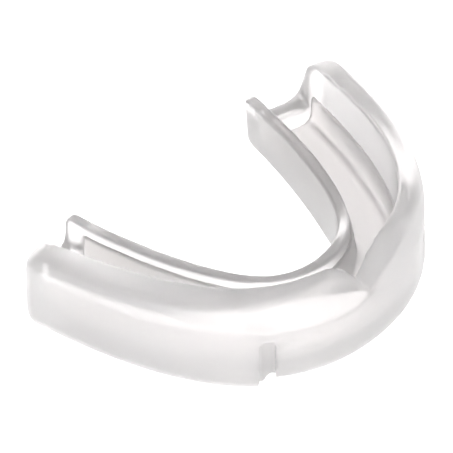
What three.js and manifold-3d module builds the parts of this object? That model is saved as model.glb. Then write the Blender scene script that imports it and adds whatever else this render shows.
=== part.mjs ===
// Boil-and-bite mouthguard for the upper teeth, lying with its trough upwards:
// a firm clear tray, and the soft fit layer bonded into the tray's trough.
//
// Millimetres, +Z up. The molar sections stand on z = 0, the incisors face -Y and the two arms
// end towards +Y. The YZ plane is the plane of symmetry.
//
// Both solids are swept along one curve, the lip line: the inner top edge of the tray's outer
// wall, seen from above. A section is drawn in (out, up) coordinates, where out is the distance
// outwards from the lip line (cheek side positive, tongue side negative).

import * as THREE from "three";
import { mergeVertices } from "three/addons/utils/BufferGeometryUtils.js";
import Module from "manifold-3d";

const wasm = await Module();
wasm.setup();

// ---- Driving dimensions ----

// Lip line, right half: a Bezier curve from the midline to the end of the right arm
const LIP_FRONT_Y = -36.5;
const LIP_END_X = 26.6;
const LIP_END_Y = -0.5;
const FRONT_HANDLE = 16.5;
const REAR_HANDLE = 22;
const ARM_FLARE = THREE.MathUtils.degToRad(9.6);

// Sizes that change along an arm: [at the midline, half way, at the arm's end]
const CREST_OUT = [3.7, 4.2, 4.4]; // widest point of the outer wall
const FOOT_FLARE = [1.2, 0.4, 0.5]; // how far the foot of the outer wall stands out past its crest
const SHOULDER_Z = [10.4, 12.9, 11.5]; // corner above the crest
const EDGE_OUT = [2.6, 3.1, 3.5]; // outer edge of the lip's sloping top
const EDGE_Z = [15.7, 15.1, 13.3];
const LIP_Z = [17.2, 15.7, 13.2];
const RIM_OUT = [-5.5, -7.5, -8.1]; // trough side of the inner wall's rim
const RIM_Z = [10.3, 10.0, 9.3];
const BASE_OUT = [-5.3, -9.2, -9.4]; // tongue side of the inner wall's foot
const TROUGH_OUT = [1.7, -0.3, -0.5]; // cheek side of the trough's floor
const TROUGH_IN = [-3.9, -6.9, -7.5]; // tongue side of the trough's floor
const FLOOR_Z = [4.8, 3.2, 2.8];

const RIM_THICKNESS = 1.8;
const FRONT_STEP = 1.6; // the incisor section's underside lies this much above the molar sections'
const RIM_SLOPE = 0.1; // the rim's tongue edge lies this much lower

// How far from each corner of a section its softening starts
const REACH = {
  base: 1.2,
  foot: 2.6,
  shoulder: 0.6,
  edge: 1.9,
  lip: 0.3,
  ledge: 0.1,
  pocketCheek: 2.6,
  pocketTongue: 1.4,
  rim: 0.4,
  rimBack: 0.5,
  linerCheek: 1.8,
  linerTongue: 1,
  linerTop: 0.3,
};
const LONGEST_REACH = 0.48; // as a share of the section's edge

// The dam that closes the trough at the end of each arm
const DAM_THICKNESS = 2.9;
const DAM_SLOPE = 0.6; // how far the dam's front face leans
const DAM_Z = 5.1;
const DAM_OUT = [-1.2, -0.4]; // cheek side of its top: [at the arm's end, at its front face]
const DAM_IN = -7.7;
const DAM_REACH = [4, 0.8]; // softening between its top and the outer wall: [at the end, at the front]

// Each arm's end: the inner wall reaches further back than the outer wall, and the edges are round
const END_SKEW = 0.13; // backwards for each millimetre towards the tongue
const END_SKEW_FROM = 1.8; // the section point that stays level with the end of the lip line
const END_SKEW_LENGTH = 9; // the skew fades out over this length
const END_SIDE_RADIUS = 3;
const END_LIP_SHARE = 0.35; // share of it by which the lip itself moves outwards
const END_TOP_RADIUS = 4.4;
const END_FOOT_RADIUS = 2.3;
const END_RIM_RADIUS = 1.1;
const EDGE_FOLLOW = 0.6; // share of the side's rounding that the lip's outer edge follows

// Frenum notch: a rounded V through the outer wall at the midline, which widens outwards.
// Its surface rises away from the midline as rise * (1 - exp(-distance / length)).
const FRENUM_INNER = { bottom: 12.1, rise: 6.2, length: 3.3 }; // at the lip line
const FRENUM_OUTER = { bottom: 11.3, rise: 4.6, length: 5 }; // at the outer face
const FRENUM_OUTER_AT = 3.2; // where along out the outer shape is reached
const FRENUM_ROUND = 0.35; // rounding of its bottom
const FRENUM_BLEND = 0.4; // height over which it runs into the lip

// Canine notches: a round-topped slot in the foot of the outer wall on each side
const CANINE_AT = 0.283; // share of the way along the arm
const CANINE_HALF_WIDTH = 1.1;
const CANINE_TOP_Z = 9.4;
const CANINE_DEPTH = 2;
const STEP_RAMP = 0.7; // length over which the underside steps down behind the notch
const CUTTER_SPARE = 4; // how far a cutter reaches past the tray

// Fit layer: it lines the trough up to a ledge below the inner rim
const LINER_THICKNESS = 0.9;
const LINER_PROUD = 0.25; // how far its sides stand out from the trough's walls above the ledge
const LINER_GAP = 0.2; // clearance to the tray
const LINER_BELOW_RIM = 1.6;
const DAM_LEDGE_DROP = 0.6; // how far below the top edges the ledge runs out on the dam
const DAM_POCKET = 0.05; // and what is left of the pocket there

// Facets
const STATION_STEP = 2.2;
const ROUND_STEPS = 4; // for a corner with at least this reach; a smaller one is a chamfer
const ROUND_REACH = 0.5;
const NOTCH_SEGMENTS = 8;
const END_STATIONS = [0.12, 0.45, 0.95, 1.6, 2.3]; // distances from the arm's end
const FRENUM_STATIONS = [0.35, 0.8, 1.4, 2.1, 2.9, 3.8, 4.8, 5.9, 7.1, 8.4, 9.8, 11.3]; // from the midline
const LENGTH_SAMPLES = 400;

// ---- The lip line and what varies along it ----

const lipLine = new THREE.CubicBezierCurve(
  new THREE.Vector2(0, LIP_FRONT_Y),
  new THREE.Vector2(FRONT_HANDLE, LIP_FRONT_Y),
  new THREE.Vector2(
    LIP_END_X - REAR_HANDLE * Math.sin(ARM_FLARE),
    LIP_END_Y - REAR_HANDLE * Math.cos(ARM_FLARE),
  ),
  new THREE.Vector2(LIP_END_X, LIP_END_Y),
);
lipLine.arcLengthDivisions = LENGTH_SAMPLES;
const ARM_LENGTH = lipLine.getLength();

// A smooth value at share t of the arm, from its three stated values: level where the two arms
// meet, and two cubic pieces that join half way
function along([front, middle, end], t) {
  const half = t < 0.5;
  const u = half ? 2 * t : 2 * t - 1;
  const [start, stop] = half ? [front, middle] : [middle, end];
  const middleSlope = (end - front) / 2;
  const startSlope = half ? 0 : middleSlope;
  const stopSlope = half ? middleSlope : end - middle;
  return start * (2 * u ** 3 - 3 * u ** 2 + 1) + stop * (3 * u ** 2 - 2 * u ** 3)
    + startSlope * (u ** 3 - 2 * u ** 2 + u) + stopSlope * (u ** 3 - u ** 2);
}

// How far a quarter-round edge of the given radius has fallen back, at a distance from the end
function roundBack(distance, radius) {
  if (distance >= radius) {
    return 0;
  }
  return radius - Math.sqrt(radius ** 2 - (radius - distance) ** 2);
}

// The place of section point (out, up) on an arm; side is 1 for the right arm and -1 for the left
function place(t, side, out, up) {
  const point = lipLine.getPointAt(t);
  const tangent = lipLine.getTangentAt(t);
  const nearness = Math.max(0, 1 - ((1 - t) * ARM_LENGTH) / END_SKEW_LENGTH);
  const back = -END_SKEW * (out + END_SKEW_FROM) * nearness;
  const x = point.x + out * tangent.y + back * tangent.x;
  const y = point.y - out * tangent.x + back * tangent.y;
  return new THREE.Vector3(side * x, y, up);
}

// ---- Section outlines ----

// A closed outline through corners [out, up, reach]: each corner is softened by a curve that
// starts and ends a distance reach from it
function softOutline(corners) {
  const outline = [];
  corners.forEach(([out, up, reach], index) => {
    const corner = new THREE.Vector2(out, up);
    const before = new THREE.Vector2(...corners.at(index - 1).slice(0, 2));
    const after = new THREE.Vector2(...corners[(index + 1) % corners.length].slice(0, 2));
    const startReach = Math.min(reach, LONGEST_REACH * corner.distanceTo(before));
    const endReach = Math.min(reach, LONGEST_REACH * corner.distanceTo(after));
    const start = corner.clone().add(before.sub(corner).setLength(startReach));
    const end = corner.clone().add(after.sub(corner).setLength(endReach));
    const steps = reach < ROUND_REACH ? 1 : ROUND_STEPS;
    outline.push(...new THREE.QuadraticBezierCurve(start, corner, end).getPoints(steps));
  });
  return outline;
}

// The trough's wall between its floor corner and its top edge: how far out it is at height up
function wallOut(up, [floorOut, floor], [topOut, top]) {
  return THREE.MathUtils.mapLinear(up, floor, top, floorOut, topOut);
}

// The frenum notch's surface at a distance from the midline along the arch
function frenumHeight(distance, out) {
  const rounded = Math.hypot(distance, FRENUM_ROUND) - FRENUM_ROUND;
  const [inner, outer] = [FRENUM_INNER, FRENUM_OUTER].map(({ bottom, rise, length }) => (
    bottom + rise * (1 - Math.exp(-rounded / length))
  ));
  return THREE.MathUtils.lerp(inner, outer, THREE.MathUtils.smoothstep(out, 0, FRENUM_OUTER_AT));
}

// The lower of two heights, blended where they are nearly equal
function softLower(a, b) {
  const overlap = Math.max(FRENUM_BLEND - Math.abs(a - b), 0);
  return Math.min(a, b) - overlap ** 2 / (4 * FRENUM_BLEND);
}

// The tray's section at share t of an arm
function traySection(t) {
  const distance = (1 - t) * ARM_LENGTH;
  const sideBack = roundBack(distance, END_SIDE_RADIUS);
  const topBack = roundBack(distance, END_TOP_RADIUS);
  const rimBack = roundBack(distance, END_RIM_RADIUS);
  const step = t < CANINE_AT ? FRONT_STEP : 0;
  const under = step + roundBack(distance, END_FOOT_RADIUS);
  const dam = THREE.MathUtils.clamp((DAM_THICKNESS + DAM_SLOPE - distance) / DAM_SLOPE, 0, 1);
  const orDam = (trough, atDam) => THREE.MathUtils.lerp(trough, atDam, dam);

  const crest = along(CREST_OUT, t) - sideBack;
  const foot = crest + along(FOOT_FLARE, t);
  const lip = [END_LIP_SHARE * sideBack, along(LIP_Z, t) - topBack];
  const rim = [along(RIM_OUT, t), along(RIM_Z, t) - rimBack];
  const nearFront = THREE.MathUtils.clamp(distance / DAM_THICKNESS, 0, 1);
  const damOut = THREE.MathUtils.lerp(...DAM_OUT, nearFront);
  const damReach = THREE.MathUtils.lerp(...DAM_REACH, nearFront);
  const floor = orDam(along(FLOOR_Z, t), DAM_Z);
  const cheekFloor = [orDam(along(TROUGH_OUT, t), damOut), floor];
  const tongueFloor = [orDam(along(TROUGH_IN, t), DAM_IN), floor];
  const ledge = along(RIM_Z, t) - LINER_BELOW_RIM + LINER_GAP;
  const cheekLedge = orDam(ledge, lip[1] - DAM_LEDGE_DROP);
  const tongueLedge = orDam(ledge, rim[1] - DAM_LEDGE_DROP);
  const cheekLedgeOut = wallOut(cheekLedge, cheekFloor, lip);
  const tongueLedgeOut = wallOut(tongueLedge, tongueFloor, rim);
  const pocket = orDam(LINER_THICKNESS - LINER_PROUD + LINER_GAP, DAM_POCKET);
  const pocketFloor = floor - orDam(LINER_THICKNESS + LINER_GAP, DAM_POCKET);
  const outline = softOutline([
    [along(BASE_OUT, t) + rimBack, under, REACH.base],
    [foot, under, REACH.foot],
    [crest, along(SHOULDER_Z, t) - topBack, REACH.shoulder],
    [along(EDGE_OUT, t) - EDGE_FOLLOW * sideBack, along(EDGE_Z, t) - topBack, REACH.edge],
    [...lip, REACH.lip],
    [cheekLedgeOut, cheekLedge, REACH.ledge],
    [cheekLedgeOut + pocket, cheekLedge, REACH.ledge],
    [cheekFloor[0] + pocket, pocketFloor, orDam(REACH.pocketCheek, damReach)],
    [tongueFloor[0] - pocket, pocketFloor, REACH.pocketTongue],
    [tongueLedgeOut - pocket, tongueLedge, REACH.ledge],
    [tongueLedgeOut, tongueLedge, REACH.ledge],
    [...rim, REACH.rim],
    [rim[0] - RIM_THICKNESS + rimBack, rim[1] - RIM_SLOPE, REACH.rimBack],
  ]);
  const fromMidline = ARM_LENGTH - distance;
  return outline.map(({ x, y }) => (
    new THREE.Vector2(x, softLower(y, frenumHeight(fromMidline, x)))
  ));
}

// The fit layer's section: a U that follows the trough, up to the ledge
function linerSection(t) {
  const top = along(RIM_Z, t) - LINER_BELOW_RIM;
  const floor = along(FLOOR_Z, t);
  const cheekFloor = along(TROUGH_OUT, t) - LINER_PROUD;
  const tongueFloor = along(TROUGH_IN, t) + LINER_PROUD;
  const cheekTop = wallOut(top, [cheekFloor, floor], [-LINER_PROUD, along(LIP_Z, t)]);
  const tongueTop = wallOut(top, [tongueFloor, floor],
    [along(RIM_OUT, t) + LINER_PROUD, along(RIM_Z, t)]);
  return softOutline([
    [tongueTop - LINER_THICKNESS, top, REACH.ledge],
    [tongueFloor - LINER_THICKNESS, floor - LINER_THICKNESS, REACH.pocketTongue],
    [cheekFloor + LINER_THICKNESS, floor - LINER_THICKNESS, REACH.pocketCheek],
    [cheekTop + LINER_THICKNESS, top, REACH.ledge],
    [cheekTop, top, REACH.linerTop],
    [cheekFloor, floor, REACH.linerCheek],
    [tongueFloor, floor, REACH.linerTongue],
    [tongueTop, top, REACH.linerTop],
  ]);
}

// ---- Solids ----

// Shares of the arm at which sections are drawn, from the midline to a distance before the end
function stationShares(nearMidline, nearEnd, endDistance) {
  const distances = nearEnd.filter((distance) => distance > endDistance);
  const last = Math.max(endDistance, ...distances);
  const first = Math.max(0, ...nearMidline);
  const middle = ARM_LENGTH - last - first;
  const count = Math.round(middle / STATION_STEP);
  const tail = [...distances, endDistance].filter((distance) => distance < last);
  const stations = [
    ...nearMidline.filter((station) => station < first),
    ...Array.from({ length: count + 1 }, (_, i) => first + (i / count) * middle),
    ...tail.sort((a, b) => b - a).map((distance) => ARM_LENGTH - distance),
  ];
  return stations.map((station) => station / ARM_LENGTH);
}

// Two stations close together at the canine notch make the underside's step a short ramp
function withStep(shares) {
  const half = STEP_RAMP / 2 / ARM_LENGTH;
  const kept = shares.filter((share) => Math.abs(share - CANINE_AT) > 2 * half);
  return [...kept, CANINE_AT - half, CANINE_AT + half].sort((a, b) => a - b);
}

// The closed body that passes through a section at each share of both arms
function sweep(sectionAt, shares) {
  const halves = [
    ...shares.slice(1).reverse().map((t) => ({ t, side: -1 })),
    ...shares.map((t) => ({ t, side: 1 })),
  ];
  const sections = halves.map(({ t }) => sectionAt(t));
  const perSection = sections[0].length;
  const positions = [];
  halves.forEach(({ t, side }, row) => {
    sections[row].forEach((point) => positions.push(...place(t, side, point.x, point.y)));
  });
  const index = [];
  for (let row = 0; row + 1 < halves.length; row += 1) {
    for (let i = 0; i < perSection; i += 1) {
      const a = row * perSection + i;
      const b = row * perSection + ((i + 1) % perSection);
      const [c, d] = [a + perSection, b + perSection];
      index.push(...(halves[row].side > 0 ? [a, d, b, a, c, d] : [a, c, b, c, d, b]));
    }
  }
  const last = (halves.length - 1) * perSection;
  THREE.ShapeUtils.triangulateShape(sections[0], []).forEach(([a, b, c]) => {
    index.push(a, b, c);
    index.push(last + a, last + c, last + b);
  });
  const geometry = new THREE.BufferGeometry();
  geometry.setAttribute("position", new THREE.Float32BufferAttribute(positions, 3));
  geometry.setIndex(index);
  return geometry;
}

function toSolid(geometry) {
  const plain = geometry.clone();
  plain.deleteAttribute("normal");
  plain.deleteAttribute("uv");
  const merged = mergeVertices(plain, 1e-4);
  return new wasm.Manifold(new wasm.Mesh({
    numProp: 3,
    vertProperties: new Float32Array(merged.attributes.position.array),
    triVerts: new Uint32Array(merged.index.array),
  }));
}

function toGeometry(solid) {
  const { vertProperties, triVerts } = solid.getMesh();
  const geometry = new THREE.BufferGeometry();
  geometry.setAttribute("position", new THREE.Float32BufferAttribute(vertProperties, 3));
  geometry.setIndex(new THREE.Uint32BufferAttribute(triVerts, 1));
  geometry.computeVertexNormals();
  return geometry;
}

// A canine notch's cutter: a slot with a round top, sunk into the outer wall's foot
function canineCutter(side) {
  const straightTop = CANINE_TOP_Z - CANINE_HALF_WIDTH;
  const shape = new THREE.Shape();
  shape.moveTo(CANINE_HALF_WIDTH, -CUTTER_SPARE);
  shape.lineTo(CANINE_HALF_WIDTH, straightTop);
  shape.absarc(0, straightTop, CANINE_HALF_WIDTH, 0, Math.PI, false);
  shape.lineTo(-CANINE_HALF_WIDTH, -CUTTER_SPARE);
  const cutter = new THREE.ExtrudeGeometry(shape, {
    depth: CANINE_DEPTH + CUTTER_SPARE,
    bevelEnabled: false,
    curveSegments: NOTCH_SEGMENTS,
  });
  const tangent = lipLine.getTangentAt(CANINE_AT);
  const outwards = new THREE.Vector3(side * tangent.y, -tangent.x, 0);
  const up = new THREE.Vector3(0, 0, 1);
  const foot = along(CREST_OUT, CANINE_AT) + along(FOOT_FLARE, CANINE_AT);
  const frame = new THREE.Matrix4().makeBasis(up.clone().cross(outwards), up, outwards);
  frame.setPosition(place(CANINE_AT, side, foot - CANINE_DEPTH, 0));
  cutter.applyMatrix4(frame);
  return toSolid(cutter);
}

function trayGeometry() {
  const nearEnd = [...END_STATIONS, DAM_THICKNESS, DAM_THICKNESS + DAM_SLOPE];
  const shares = withStep(stationShares([0, ...FRENUM_STATIONS], nearEnd, 0));
  const body = toSolid(sweep(traySection, shares));
  return toGeometry(body.subtract(canineCutter(1)).subtract(canineCutter(-1)));
}

function linerGeometry() {
  const endDistance = DAM_THICKNESS + DAM_SLOPE + LINER_GAP;
  return toGeometry(toSolid(sweep(linerSection, stationShares([], [], endDistance))));
}

// ---- The part ----

const trayMaterial = new THREE.MeshStandardMaterial({
  color: 0xe6e8ea,
  roughness: 0.3,
  metalness: 0,
});
const linerMaterial = new THREE.MeshStandardMaterial({
  color: 0xf0efec,
  roughness: 0.4,
  metalness: 0,
});

function namedMesh(name, geometry, material) {
  const mesh = new THREE.Mesh(geometry, material);
  mesh.name = name;
  return mesh;
}

const guard = new THREE.Group();
guard.add(namedMesh("tray_shell", trayGeometry(), trayMaterial));
guard.add(namedMesh("fit_liner", linerGeometry(), linerMaterial));

// The origin is the middle of the underside
const middle = new THREE.Box3().setFromObject(guard, true).getCenter(new THREE.Vector3());
guard.position.y = -middle.y;

export default guard;
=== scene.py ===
"""Looks of a clear boil-and-bite mouthguard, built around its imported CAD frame.

The tray and the fit liner are swept along the same lip line as the CAD solids, finely enough for
a smooth moulded surface. The frenum notch is part of the tray's sections. The two canine notches
are cut out afterwards, and then every sharp edge is softened as a moulding tool would leave it.

Sizes are in millimetres, and the finished meshes are scaled to metres. The camera, the floor and
the lights are in metres.
"""

import math

import bmesh
import bpy
import numpy as np
from mathutils import Matrix, Vector


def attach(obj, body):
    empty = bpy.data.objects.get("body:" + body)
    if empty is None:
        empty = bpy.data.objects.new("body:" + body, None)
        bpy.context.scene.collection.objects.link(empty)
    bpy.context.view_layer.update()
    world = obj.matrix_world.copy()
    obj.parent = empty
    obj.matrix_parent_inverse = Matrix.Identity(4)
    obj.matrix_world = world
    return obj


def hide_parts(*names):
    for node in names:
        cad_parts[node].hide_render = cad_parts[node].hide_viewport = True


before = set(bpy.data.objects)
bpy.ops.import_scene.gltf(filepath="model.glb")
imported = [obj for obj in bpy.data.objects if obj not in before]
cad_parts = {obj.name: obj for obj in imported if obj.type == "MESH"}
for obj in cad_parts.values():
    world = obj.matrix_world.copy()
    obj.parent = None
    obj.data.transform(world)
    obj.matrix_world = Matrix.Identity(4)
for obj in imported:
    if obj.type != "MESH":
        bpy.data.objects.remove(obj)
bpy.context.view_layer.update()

MM = 0.001

# ---- Driving dimensions, as in the CAD model ----

# Lip line, right half: a Bezier curve from the midline to the end of the right arm
LIP_FRONT_Y = -36.5
LIP_END = (26.6, -0.5)
FRONT_HANDLE = 16.5
REAR_HANDLE = 22.0
ARM_FLARE = math.radians(9.6)
ARCH_SHIFT = 19.5865  # from the lip line's origin forwards to the frame's origin

# Its Bezier control points
LIP_REAR_CONTROL = (LIP_END[0] - REAR_HANDLE * math.sin(ARM_FLARE),
                    LIP_END[1] - REAR_HANDLE * math.cos(ARM_FLARE))
LIP_CONTROLS = ((0, LIP_FRONT_Y), (FRONT_HANDLE, LIP_FRONT_Y), LIP_REAR_CONTROL, LIP_END)

# Sizes that change along an arm: (at the midline, half way, at the arm's end). "Out" is measured
# from the lip line towards the cheek, and "z" from the underside.
CREST_OUT = (3.7, 4.2, 4.4)
FOOT_FLARE = (1.2, 0.4, 0.5)
SHOULDER_Z = (10.4, 12.9, 11.5)
EDGE_OUT = (2.6, 3.1, 3.5)
EDGE_Z = (15.7, 15.1, 13.3)
LIP_Z = (17.2, 15.7, 13.2)
RIM_OUT = (-5.5, -7.5, -8.1)
RIM_Z = (10.3, 10.0, 9.3)
BASE_OUT = (-5.3, -9.2, -9.4)
TROUGH_OUT = (1.7, -0.3, -0.5)
TROUGH_IN = (-3.9, -6.9, -7.5)
FLOOR_Z = (4.8, 3.2, 2.8)
RIM_THICKNESS = 1.8
RIM_SLOPE = 0.1
FRONT_STEP = 1.6  # how much higher the underside is between the canine notches

# Dam: the raised trough floor that closes the trough at each arm's end
DAM_THICKNESS = 2.9
DAM_SLOPE = 0.6
DAM_Z = 5.1
DAM_OUT = (-1.2, -0.4)  # at the arm's end and at the dam's front face
DAM_IN = -7.7
DAM_REACH = (4.0, 0.8)  # softening of its cheek side, at the same two places

# Arm's end: it slants back on the tongue side, and its edges are rounded
END_SKEW = 0.13
END_SKEW_FROM = 1.8  # it pivots this far inside the lip line
END_SKEW_LENGTH = 9.0
END_SIDE_RADIUS = 3.0
END_LIP_SHARE = 0.35  # share of the side's rounding by which the lip moves towards the cheek
END_EDGE_SHARE = 0.6  # and the edge away from it
END_TOP_RADIUS = 4.4
END_FOOT_RADIUS = 2.3
END_RIM_RADIUS = 1.1

# Frenum notch: (bottom, rise, length) at the lip line and at the outer face. Its surface rises
# away from the midline as rise * (1 - exp(-distance / length)).
FRENUM_INNER = (12.1, 6.2, 3.3)
FRENUM_OUTER = (11.3, 4.6, 5.0)
FRENUM_OUTER_AT = 3.2  # how far out the outer face is
FRENUM_ROUND = 0.35
FRENUM_BLEND = 0.4

CANINE_AT = 0.283  # share of the arm's length
CANINE_HALF_WIDTH = 1.1
CANINE_TOP_Z = 9.4
CANINE_DEPTH = 2.0
CANINE_MOLAR_CORNER = 1.5  # rounding of the molar section's lower corner beside the notch
CANINE_FRONT_CORNER = 0.9  # and of the front section's
STEP_RAMP = 0.7  # length over which the underside rises by FRONT_STEP
CUTTER_SPARE = 4.0  # how far the cutter reaches past the wall's face and foot

LINER_THICKNESS = 0.9
LINER_PROUD = 0.25  # how far it stands out from the walls
LINER_OVERLAP = 0.06  # the bonded layers share a skin, so that no air shows between them
LINER_BELOW_RIM = 1.6
DAM_LEDGE_DROP = 0.6  # how far below the wall tops the ledges are at the dam
DAM_POCKET = 0.05  # how deep the liner's pocket still is there

# How far from each corner of a section its rounding starts, at most LONGEST_REACH of the edge
REACH = {
    "base": 1.2, "foot": 2.6, "shoulder": 0.5, "edge": 1.9, "lip": 0.5,
    "ledge": 0.05, "pocket_cheek": 2.6, "pocket_tongue": 1.4, "rim": 0.55, "rim_back": 0.6,
    "liner_top": 0.4, "liner_cheek": 1.8, "liner_tongue": 1.0,
}
LONGEST_REACH = 0.48

# ---- Fineness ----

STATION_STEP = 0.35
# Distances from the arm's end of the extra stations that shape its rounded edges
END_STATIONS = (0.02, 0.08, 0.18, 0.32, 0.5, 0.72, 1.0, 1.35, 1.75, 2.2, 2.6)
CORNER_STEPS = 8
ARC_STEPS = 16
VOXEL = 0.22
SMOOTH_FACTOR = 0.5
SMOOTH_PASSES = 6
LENGTH_SAMPLES = 4000


# ---- The lip line and what varies along it ----

def bezier(parameter):
    """Points and unit tangents of the lip line at these curve parameters."""
    s = parameter[:, None]
    r = 1 - s
    a, b, c, d = (np.array(control) for control in LIP_CONTROLS)
    point = r ** 3 * a + 3 * s * r ** 2 * b + 3 * s ** 2 * r * c + s ** 3 * d
    slope = 3 * r ** 2 * (b - a) + 6 * s * r * (c - b) + 3 * s ** 2 * (d - c)
    return point, slope / np.linalg.norm(slope, axis=1, keepdims=True)


# Length of the lip line up to each of many curve parameters
FINE = np.linspace(0, 1, LENGTH_SAMPLES)
FINE_STEPS = np.linalg.norm(np.diff(bezier(FINE)[0], axis=0), axis=1)
FINE_LENGTHS = np.concatenate([[0], np.cumsum(FINE_STEPS)])
ARM_LENGTH = FINE_LENGTHS[-1]


def lip_line(share):
    """Point and unit tangent of the lip line at a share of the arm's length."""
    point, tangent = bezier(np.atleast_1d(np.interp(share * ARM_LENGTH, FINE_LENGTHS, FINE)))
    return point[0], tangent[0]


def along(values, t):
    """A smooth value at share t of the arm, from its three stated values."""
    front, middle, end = values
    half = t < 0.5
    u = 2 * t if half else 2 * t - 1
    start, stop = (front, middle) if half else (middle, end)
    middle_slope = (end - front) / 2
    start_slope = 0 if half else middle_slope
    stop_slope = middle_slope if half else end - middle
    return (start * (2 * u ** 3 - 3 * u ** 2 + 1) + stop * (3 * u ** 2 - 2 * u ** 3)
            + start_slope * (u ** 3 - 2 * u ** 2 + u) + stop_slope * (u ** 3 - u ** 2))


def round_back(distance, radius):
    """How far a quarter-round edge has fallen back, at a distance from the arm's end."""
    if distance >= radius:
        return 0.0
    return radius - math.sqrt(radius ** 2 - (radius - distance) ** 2)


def place(t, side, section):
    """The places of section points (out, up) at share t of the left or right arm."""
    point, tangent = lip_line(t)
    nearness = max(0.0, 1 - (1 - t) * ARM_LENGTH / END_SKEW_LENGTH)
    out, up = section[:, 0], section[:, 1]
    back = -END_SKEW * (out + END_SKEW_FROM) * nearness
    x = point[0] + out * tangent[1] + back * tangent[0]
    y = point[1] - out * tangent[0] + back * tangent[1] + ARCH_SHIFT
    return np.column_stack([side * x, y, up])


# ---- Section outlines ----

def soft_outline(corners):
    """A closed outline through corners (out, up, reach), each corner softened over its reach."""
    outline = []
    for i, (out, up, reach) in enumerate(corners):
        corner = np.array((out, up))
        ends = []
        for neighbour in (corners[i - 1], corners[(i + 1) % len(corners)]):
            edge = np.array(neighbour[:2]) - corner
            length = np.linalg.norm(edge)
            ends.append(corner + edge / length * min(reach, LONGEST_REACH * length))
        for s in np.linspace(0, 1, CORNER_STEPS + 1):
            outline.append((1 - s) ** 2 * ends[0] + 2 * s * (1 - s) * corner + s ** 2 * ends[1])
    return np.array(outline)


def wall_out(up, floor_corner, top_corner):
    """How far out the trough's wall is at height up, between its floor corner and its top edge."""
    (floor_out, floor), (top_out, top) = floor_corner, top_corner
    return floor_out + (up - floor) / (top - floor) * (top_out - floor_out)


def frenum_height(distance, out):
    """The frenum notch's surface at a distance from the midline, at each of the places out."""
    rounded = math.hypot(distance, FRENUM_ROUND) - FRENUM_ROUND
    inner, outer = (bottom + rise * (1 - math.exp(-rounded / length))
                    for bottom, rise, length in (FRENUM_INNER, FRENUM_OUTER))
    share = np.clip(out / FRENUM_OUTER_AT, 0, 1)
    return inner + (outer - inner) * share ** 2 * (3 - 2 * share)


def soft_lower(a, b):
    """The lower of two heights, blended where they are nearly equal."""
    overlap = np.maximum(FRENUM_BLEND - np.abs(a - b), 0)
    return np.minimum(a, b) - overlap ** 2 / (4 * FRENUM_BLEND)


def tray_section(t):
    """The tray's outline at share t of the arm, from the base's inner corner round the outside."""
    distance = (1 - t) * ARM_LENGTH
    side_back = round_back(distance, END_SIDE_RADIUS)
    top_back = round_back(distance, END_TOP_RADIUS)
    rim_back = round_back(distance, END_RIM_RADIUS)
    step = FRONT_STEP * min(max((CANINE_AT - t) * ARM_LENGTH / STEP_RAMP + 0.5, 0), 1)
    under = step + round_back(distance, END_FOOT_RADIUS)
    dam = min(max((DAM_THICKNESS + DAM_SLOPE - distance) / DAM_SLOPE, 0), 1)
    near_front = min(distance / DAM_THICKNESS, 1)

    def or_dam(trough, at_dam):
        """The trough's value, the dam's, or a blend of the two on the dam's sloping front."""
        return trough + (at_dam - trough) * dam

    def on_dam(at_end, at_front):
        """A value that changes from the arm's end to the dam's front face."""
        return at_end + (at_front - at_end) * near_front

    crest = along(CREST_OUT, t) - side_back
    foot = crest + along(FOOT_FLARE, t)
    lip = (END_LIP_SHARE * side_back, along(LIP_Z, t) - top_back)
    rim = (along(RIM_OUT, t), along(RIM_Z, t) - rim_back)
    floor = or_dam(along(FLOOR_Z, t), DAM_Z)
    cheek_floor = (or_dam(along(TROUGH_OUT, t), on_dam(*DAM_OUT)), floor)
    tongue_floor = (or_dam(along(TROUGH_IN, t), DAM_IN), floor)
    ledge = along(RIM_Z, t) - LINER_BELOW_RIM - LINER_OVERLAP
    cheek_ledge = or_dam(ledge, lip[1] - DAM_LEDGE_DROP)
    tongue_ledge = or_dam(ledge, rim[1] - DAM_LEDGE_DROP)
    cheek_ledge_out = wall_out(cheek_ledge, cheek_floor, lip)
    tongue_ledge_out = wall_out(tongue_ledge, tongue_floor, rim)
    pocket = or_dam(LINER_THICKNESS - LINER_PROUD - LINER_OVERLAP, DAM_POCKET)
    pocket_floor = floor - or_dam(LINER_THICKNESS - LINER_OVERLAP, DAM_POCKET)
    outline = soft_outline([
        (along(BASE_OUT, t) + rim_back, under, REACH["base"]),
        (foot, under, REACH["foot"]),
        (crest, along(SHOULDER_Z, t) - top_back, REACH["shoulder"]),
        (along(EDGE_OUT, t) - END_EDGE_SHARE * side_back, along(EDGE_Z, t) - top_back,
         REACH["edge"]),
        (*lip, REACH["lip"]),
        (cheek_ledge_out, cheek_ledge, REACH["ledge"]),
        (cheek_ledge_out + pocket, cheek_ledge, REACH["ledge"]),
        (cheek_floor[0] + pocket, pocket_floor,
         or_dam(REACH["pocket_cheek"], on_dam(*DAM_REACH))),
        (tongue_floor[0] - pocket, pocket_floor, REACH["pocket_tongue"]),
        (tongue_ledge_out - pocket, tongue_ledge, REACH["ledge"]),
        (tongue_ledge_out, tongue_ledge, REACH["ledge"]),
        (*rim, REACH["rim"]),
        (rim[0] - RIM_THICKNESS + rim_back, rim[1] - RIM_SLOPE, REACH["rim_back"]),
    ])
    notch = frenum_height(t * ARM_LENGTH, outline[:, 0])
    return np.column_stack([outline[:, 0], soft_lower(outline[:, 1], notch)])


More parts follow.
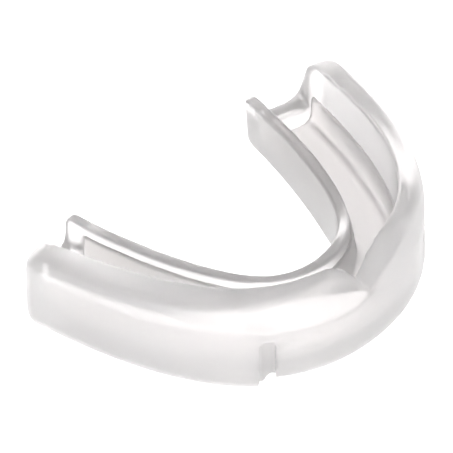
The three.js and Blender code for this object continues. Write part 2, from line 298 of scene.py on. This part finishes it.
def liner_section(t):
    """The liner's outline at share t of the arm: a U whose ends meet the tray's two ledges."""
    top = along(RIM_Z, t) - LINER_BELOW_RIM
    floor = along(FLOOR_Z, t)
    cheek_floor = along(TROUGH_OUT, t) - LINER_PROUD
    tongue_floor = along(TROUGH_IN, t) + LINER_PROUD
    lip = (-LINER_PROUD, along(LIP_Z, t))
    rim = (along(RIM_OUT, t) + LINER_PROUD, along(RIM_Z, t))
    cheek_top = wall_out(top, (cheek_floor, floor), lip)
    tongue_top = wall_out(top, (tongue_floor, floor), rim)
    under = floor - LINER_THICKNESS
    return soft_outline([
        (tongue_top - LINER_THICKNESS, top, REACH["ledge"]),
        (tongue_floor - LINER_THICKNESS, under, REACH["pocket_tongue"]),
        (cheek_floor + LINER_THICKNESS, under, REACH["pocket_cheek"]),
        (cheek_top + LINER_THICKNESS, top, REACH["ledge"]),
        (cheek_top, top, REACH["liner_top"]),
        (cheek_floor, floor, REACH["liner_cheek"]),
        (tongue_floor, floor, REACH["liner_tongue"]),
        (tongue_top, top, REACH["liner_top"]),
    ])


# ---- Meshes ----

def mesh_object(name, vertices, faces):
    """A scene object with this mesh."""
    mesh = bpy.data.meshes.new(name)
    mesh.from_pydata([tuple(v) for v in vertices], [], faces)
    mesh.validate()
    piece = bpy.data.objects.new(name, mesh)
    bpy.context.scene.collection.objects.link(piece)
    return piece


def sweep(name, section_at, end_distance):
    """The closed body that passes through a section at each station of both arms."""
    near_end = [d for d in END_STATIONS if d > end_distance]
    last = max([end_distance, *near_end])
    steps = round((ARM_LENGTH - last) / STATION_STEP)
    middle = [last + (ARM_LENGTH - last) * i / steps for i in range(steps + 1)]
    shares = sorted({1 - d / ARM_LENGTH for d in (end_distance, *near_end, *middle)})
    stations = [(t, -1) for t in reversed(shares[1:])] + [(t, 1) for t in shares]
    rows = [place(t, side, section_at(t)) for t, side in stations]
    count = len(rows[0])
    faces = [list(range(count)), [(len(rows) - 1) * count + i for i in reversed(range(count))]]
    for row in range(len(rows) - 1):
        for i in range(count):
            a, b = row * count + i, row * count + (i + 1) % count
            faces.append([a, a + count, b + count, b])
    return mesh_object(name, np.concatenate(rows), faces)


def prism(name, outline, depth, matrix):
    """An outline's straight extrusion, from z = 0 to z = depth of the given frame."""
    count = len(outline)
    vertices = [matrix @ Vector((x, y, z)) for z in (0.0, depth) for x, y in outline]
    faces = [list(reversed(range(count))), list(range(count, 2 * count))]
    faces += [[i, (i + 1) % count, count + (i + 1) % count, count + i] for i in range(count)]
    return mesh_object(name, vertices, faces)


def arc(centre, radius, start, stop):
    """Points of a circular arc between two angles."""
    angles = np.linspace(start, stop, ARC_STEPS)
    return [(centre[0] + radius * math.cos(a), centre[1] + radius * math.sin(a)) for a in angles]


def curve(start, corner, stop):
    """Points of a rounded corner between two points."""
    start, corner, stop = (np.array(p) for p in (start, corner, stop))
    s = np.linspace(0, 1, ARC_STEPS)[:, None]
    points = (1 - s) ** 2 * start + 2 * s * (1 - s) * corner + s ** 2 * stop
    return [tuple(p) for p in points]


def canine_cutter(side):
    """A slot with a round top and rounded lower corners, sunk into the outer wall's foot."""
    width = CANINE_HALF_WIDTH
    molar_x = width + CANINE_MOLAR_CORNER
    front_x = -width - CANINE_FRONT_CORNER
    outline = curve((molar_x, 0), (width, 0), (width, CANINE_MOLAR_CORNER))
    outline += arc((0, CANINE_TOP_Z - width), width, 0, math.pi)
    outline += curve((-width, FRONT_STEP + CANINE_FRONT_CORNER), (-width, FRONT_STEP),
                     (front_x, FRONT_STEP))
    outline += [(front_x, -CUTTER_SPARE), (molar_x, -CUTTER_SPARE)]
    outline = [(side * x, y) for x, y in outline]
    point, tangent = lip_line(CANINE_AT)
    outwards = Vector((side * tangent[1], -tangent[0], 0))
    up = Vector((0, 0, 1))
    foot = along(CREST_OUT, CANINE_AT) + along(FOOT_FLARE, CANINE_AT)
    bottom = place(CANINE_AT, side, np.array([[foot - CANINE_DEPTH, 0.0]]))[0]
    axes = Matrix((up.cross(outwards), up, outwards)).transposed().to_4x4()
    seat = Matrix.Translation(bottom) @ axes
    return prism("canine_cutter", outline, CANINE_DEPTH + CUTTER_SPARE, seat)


def make_outward(piece):
    """Turns the faces of a closed mesh outwards."""
    shape = bmesh.new()
    shape.from_mesh(piece.data)
    bmesh.ops.recalc_face_normals(shape, faces=shape.faces)
    shape.to_mesh(piece.data)
    shape.free()


def apply_modifiers(piece):
    """Replaces a piece's mesh by what its modifiers make of it."""
    graph = bpy.context.evaluated_depsgraph_get()
    mesh = bpy.data.meshes.new_from_object(piece.evaluated_get(graph))
    piece.modifiers.clear()
    piece.data = mesh


def cut(piece, cutter):
    """Takes a cutter's volume out of a piece."""
    make_outward(cutter)
    boolean = piece.modifiers.new("cut", "BOOLEAN")
    boolean.operation = "DIFFERENCE"
    boolean.solver = "EXACT"
    boolean.object = cutter
    apply_modifiers(piece)
    bpy.data.objects.remove(cutter)


def soften(piece):
    """Rounds every sharp edge as a moulding tool does, on an even mesh."""
    remesh = piece.modifiers.new("even", "REMESH")
    remesh.mode = "VOXEL"
    remesh.voxel_size = VOXEL
    remesh.use_smooth_shade = True
    smooth = piece.modifiers.new("soften", "SMOOTH")
    smooth.factor = SMOOTH_FACTOR
    smooth.iterations = SMOOTH_PASSES
    apply_modifiers(piece)


def to_metres(piece):
    """Turns a mesh drawn in millimetres into a smooth-shaded one in metres."""
    piece.data.transform(Matrix.Scale(MM, 4))
    for polygon in piece.data.polygons:
        polygon.use_smooth = True


# ---- Materials ----

REFRACTIVE_INDEX = 1.48
SCATTER_DEPTH = 3
HAZE_SCALE = 110.0  # per metre
HAZE_DETAIL = 3.0
HAZE_RANGE = (0.3, 0.7)  # the part of the noise over which the roughness changes
RIPPLE_SCALE = 260.0
RIPPLE_DETAIL = 2.0
RIPPLE_HEIGHT = 0.12
RIPPLE_STRENGTH = 0.6

# Each layer's two haze colours, its range of roughness and how much light passes through it
TRAY_COLOURS = ((0.99, 0.965, 0.958), (0.978, 0.972, 0.978))
TRAY_ROUGHNESS = (0.3, 0.36)
TRAY_TRANSMISSION = 0.78
LINER_COLOURS = ((0.99, 0.968, 0.958), (0.985, 0.974, 0.972))
LINER_ROUGHNESS = (0.31, 0.38)
LINER_TRANSMISSION = 0.92


def noise(nodes, links, coordinates, scale, detail):
    """A noise texture's output, from 0 to 1."""
    texture = nodes.new("ShaderNodeTexNoise")
    texture.inputs["Scale"].default_value = scale
    texture.inputs["Detail"].default_value = detail
    links.new(coordinates, texture.inputs["Vector"])
    return texture.outputs["Fac"]


def clear_copolymer(name, colours, roughness, transmission):
    """A clear, slightly milky copolymer with the unevenness of a moulding.

    Light passes through it and scatters a little inside. Its haze drifts between two colours and
    two roughnesses, and its surface ripples very slightly.
    """
    material = bpy.data.materials.new(name)
    material.use_nodes = True
    nodes, links = material.node_tree.nodes, material.node_tree.links
    shader = nodes["Principled BSDF"]
    shader.inputs["IOR"].default_value = REFRACTIVE_INDEX
    shader.inputs["Transmission Weight"].default_value = transmission
    shader.inputs["Subsurface Weight"].default_value = 1.0
    shader.inputs["Subsurface Radius"].default_value = (1.0, 1.0, 1.0)
    shader.inputs["Subsurface Scale"].default_value = SCATTER_DEPTH * MM
    coordinates = nodes.new("ShaderNodeTexCoord").outputs["Object"]

    haze = noise(nodes, links, coordinates, HAZE_SCALE, HAZE_DETAIL)
    tint = nodes.new("ShaderNodeMix")
    tint.data_type = "RGBA"
    tint.inputs["A"].default_value = (*colours[0], 1)
    tint.inputs["B"].default_value = (*colours[1], 1)
    links.new(haze, tint.inputs["Factor"])
    links.new(tint.outputs["Result"], shader.inputs["Base Color"])
    gloss = nodes.new("ShaderNodeMapRange")
    gloss.inputs["From Min"].default_value = HAZE_RANGE[0]
    gloss.inputs["From Max"].default_value = HAZE_RANGE[1]
    gloss.inputs["To Min"].default_value = roughness[0]
    gloss.inputs["To Max"].default_value = roughness[1]
    links.new(haze, gloss.inputs["Value"])
    links.new(gloss.outputs["Result"], shader.inputs["Roughness"])

    ripple = nodes.new("ShaderNodeBump")
    ripple.inputs["Strength"].default_value = RIPPLE_STRENGTH
    ripple.inputs["Distance"].default_value = RIPPLE_HEIGHT * MM
    waves = noise(nodes, links, coordinates, RIPPLE_SCALE, RIPPLE_DETAIL)
    links.new(waves, ripple.inputs["Height"])
    links.new(ripple.outputs["Normal"], shader.inputs["Normal"])
    return material


# ---- The pieces ----

def make_tray():
    """The firm outer layer, with its canine notches."""
    tray = sweep("tray_shell_visual", tray_section, 0.0)
    make_outward(tray)
    cut(tray, canine_cutter(1))
    cut(tray, canine_cutter(-1))
    soften(tray)
    to_metres(tray)
    tray.data.materials.clear()
    tray.data.materials.append(
        clear_copolymer("tray_copolymer", TRAY_COLOURS, TRAY_ROUGHNESS, TRAY_TRANSMISSION))
    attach(tray, "root")
    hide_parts("tray_shell")


def make_liner():
    """The soft inner layer, which ends at the foot of each dam."""
    end_distance = DAM_THICKNESS + DAM_SLOPE - LINER_OVERLAP
    liner = sweep("fit_liner_visual", liner_section, end_distance)
    make_outward(liner)
    soften(liner)
    to_metres(liner)
    liner.data.materials.clear()
    liner.data.materials.append(
        clear_copolymer("liner_copolymer", LINER_COLOURS, LINER_ROUGHNESS, LINER_TRANSMISSION))
    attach(liner, "root")
    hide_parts("fit_liner")


# ---- Camera, floor and light, in metres ----

CAMERA_AZIMUTH = math.radians(-44.81)
CAMERA_ELEVATION = math.radians(44.69)
CAMERA_ROLL = math.radians(0.22)
CAMERA_DISTANCE = 0.38
CAMERA_TARGET = Vector((-2.85, ARCH_SHIFT - 14.7, 8.0)) * MM
CAMERA_LENS = 214.0
CAMERA_NEAREST = 0.01

FLOOR_HALF_SIZE = 1.5
FLOOR_DROP = 0.0001  # keeps the floor clear of the underside
FLOOR_GREY = 0.9
FLOOR_ROUGHNESS = 0.9
FLOOR_GLOW = 1.12

KEY_POSITION = (-0.42, -0.42, 0.09)
KEY_TARGET = (0, 0, 0.008)
KEY_SIZE = (0.7, 0.16)
KEY_POWER = 2.5

# The tent's grey at some heights: (sine of the elevation, grey)
SKY = ((0.0, 0.95), (0.15, 0.8), (0.5, 0.52), (1.0, 0.42))
OVERHEAD_TINT = (1.0, 0.965, 0.96)

# Soft panels and dark flags around the object: azimuth and elevation of the middle, where the
# edge begins and ends (all in degrees), and the colour
PANELS = (
    (245, 10, 25, 55, (1.5, 1.44, 1.44)),
    (70, 55, 15, 40, (1.1, 1.05, 1.03)),
    (150, 15, 12, 34, (0.05, 0.053, 0.06)),
    (0, 20, 10, 35, (0.35, 0.35, 0.37)),
)


def make_camera():
    """The camera, aimed at its target from above the left front."""
    camera = bpy.data.cameras.new("camera")
    camera.lens = CAMERA_LENS
    camera.clip_start = CAMERA_NEAREST
    back = Vector((math.sin(CAMERA_AZIMUTH) * math.cos(CAMERA_ELEVATION),
                   -math.cos(CAMERA_AZIMUTH) * math.cos(CAMERA_ELEVATION),
                   math.sin(CAMERA_ELEVATION)))
    right = Vector((math.cos(CAMERA_AZIMUTH), math.sin(CAMERA_AZIMUTH), 0))
    axes = Matrix((right, back.cross(right), back)).transposed().to_4x4()
    seat = bpy.data.objects.new("camera", camera)
    seat.matrix_world = (Matrix.Translation(CAMERA_TARGET + back * CAMERA_DISTANCE) @ axes
                         @ Matrix.Rotation(CAMERA_ROLL, 4, "Z"))
    bpy.context.scene.collection.objects.link(seat)
    bpy.context.scene.camera = seat


def make_floor():
    """A pale floor that glows evenly, as a light table does."""
    r = FLOOR_HALF_SIZE
    corners = [(-r, -r, 0), (r, -r, 0), (r, r, 0), (-r, r, 0)]
    floor = mesh_object("floor", corners, [[0, 1, 2, 3]])
    floor.location.z = -FLOOR_DROP
    material = bpy.data.materials.new("floor")
    material.use_nodes = True
    shader = material.node_tree.nodes["Principled BSDF"]
    shader.inputs["Base Color"].default_value = (FLOOR_GREY, FLOOR_GREY, FLOOR_GREY, 1)
    shader.inputs["Roughness"].default_value = FLOOR_ROUGHNESS
    shader.inputs["Emission Color"].default_value = (1, 1, 1, 1)
    shader.inputs["Emission Strength"].default_value = FLOOR_GLOW
    floor.data.materials.append(material)


def direction(azimuth, elevation):
    """The unit vector towards a place in the sky, from its angles in degrees."""
    azimuth, elevation = math.radians(azimuth), math.radians(elevation)
    return Vector((math.cos(azimuth) * math.cos(elevation),
                   math.sin(azimuth) * math.cos(elevation),
                   math.sin(elevation)))


def make_world():
    """A light tent: white at the horizon, greyer overhead, with soft panels and flags in it."""
    world = bpy.data.worlds.new("studio")
    bpy.context.scene.world = world
    world.use_nodes = True
    nodes, links = world.node_tree.nodes, world.node_tree.links
    towards = nodes.new("ShaderNodeTexCoord").outputs["Generated"]
    split = nodes.new("ShaderNodeSeparateXYZ")
    ramp = nodes.new("ShaderNodeValToRGB")
    links.new(towards, split.inputs[0])
    links.new(split.outputs["Z"], ramp.inputs["Fac"])
    stops = ramp.color_ramp.elements
    while len(stops) < len(SKY):
        stops.new(0.5)
    for stop, (height, grey) in zip(stops, SKY):
        stop.position = height
        stop.color = (*(grey * (1 - height + height * tint) for tint in OVERHEAD_TINT), 1)
    colour = ramp.outputs["Color"]
    for azimuth, elevation, inner, outer, tone in PANELS:
        facing = nodes.new("ShaderNodeVectorMath")
        facing.operation = "DOT_PRODUCT"
        facing.inputs[1].default_value = direction(azimuth, elevation)
        edge = nodes.new("ShaderNodeMapRange")
        edge.interpolation_type = "SMOOTHSTEP"
        edge.inputs["From Min"].default_value = math.cos(math.radians(outer))
        edge.inputs["From Max"].default_value = math.cos(math.radians(inner))
        panel = nodes.new("ShaderNodeMix")
        panel.data_type = "RGBA"
        panel.inputs["B"].default_value = (*tone, 1)
        links.new(towards, facing.inputs[0])
        links.new(facing.outputs["Value"], edge.inputs["Value"])
        links.new(edge.outputs["Result"], panel.inputs["Factor"])
        links.new(colour, panel.inputs["A"])
        colour = panel.outputs["Result"]
    links.new(colour, nodes["Background"].inputs["Color"])


def make_key_light():
    """A long soft light near the floor, at the front left."""
    light = bpy.data.lights.new("key", "AREA")
    light.shape = "RECTANGLE"
    light.size, light.size_y = KEY_SIZE
    light.energy = KEY_POWER
    lamp = bpy.data.objects.new("key", light)
    lamp.location = KEY_POSITION
    aim = Vector(KEY_TARGET) - Vector(KEY_POSITION)
    lamp.rotation_euler = aim.to_track_quat("-Z", "Y").to_euler()
    lamp.visible_camera = False
    bpy.context.scene.collection.objects.link(lamp)


make_camera()
make_world()
make_floor()
make_key_light()
make_tray()
make_liner()
bpy.context.scene.view_settings.view_transform = "Standard"
